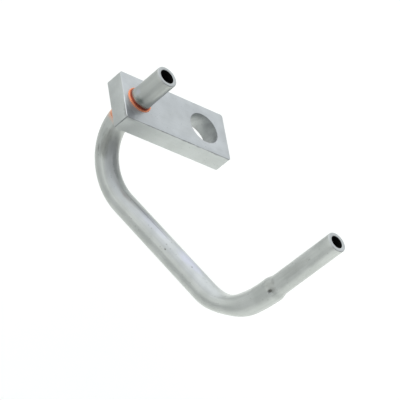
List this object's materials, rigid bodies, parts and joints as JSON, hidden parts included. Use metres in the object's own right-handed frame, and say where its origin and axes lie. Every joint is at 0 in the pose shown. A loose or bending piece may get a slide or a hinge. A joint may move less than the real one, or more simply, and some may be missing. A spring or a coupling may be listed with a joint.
{
  "type": "piston cooling nozzle",
  "caption": "Bent steel oil tube brazed into a flat bar that bolts to the crankcase; its spigot takes oil in and its swaged end sprays it at the underside of a piston.",
  "frame": {"origin": "on the axis of the inlet spigot, in the plane of the plate's seating face", "axes": "+Z the way the spigot and the nozzle point, away from the seating face; +X along the plate, from the tube towards the bolt hole"},
  "size_m": [0.045, 0.0844, 0.0706],
  "materials": {
    "plate_steel": "satin, matt from the brazing furnace",
    "tube_steel": "satin drawn tube, faint lengthwise draw lines",
    "braze_copper": "bright copper that has flowed"
  },
  "bodies": {
    "root": {"mounting_plate": "plate_steel", "oil_tube": "tube_steel", "braze_joint": "braze_copper"}
  },
  "joints": []
}
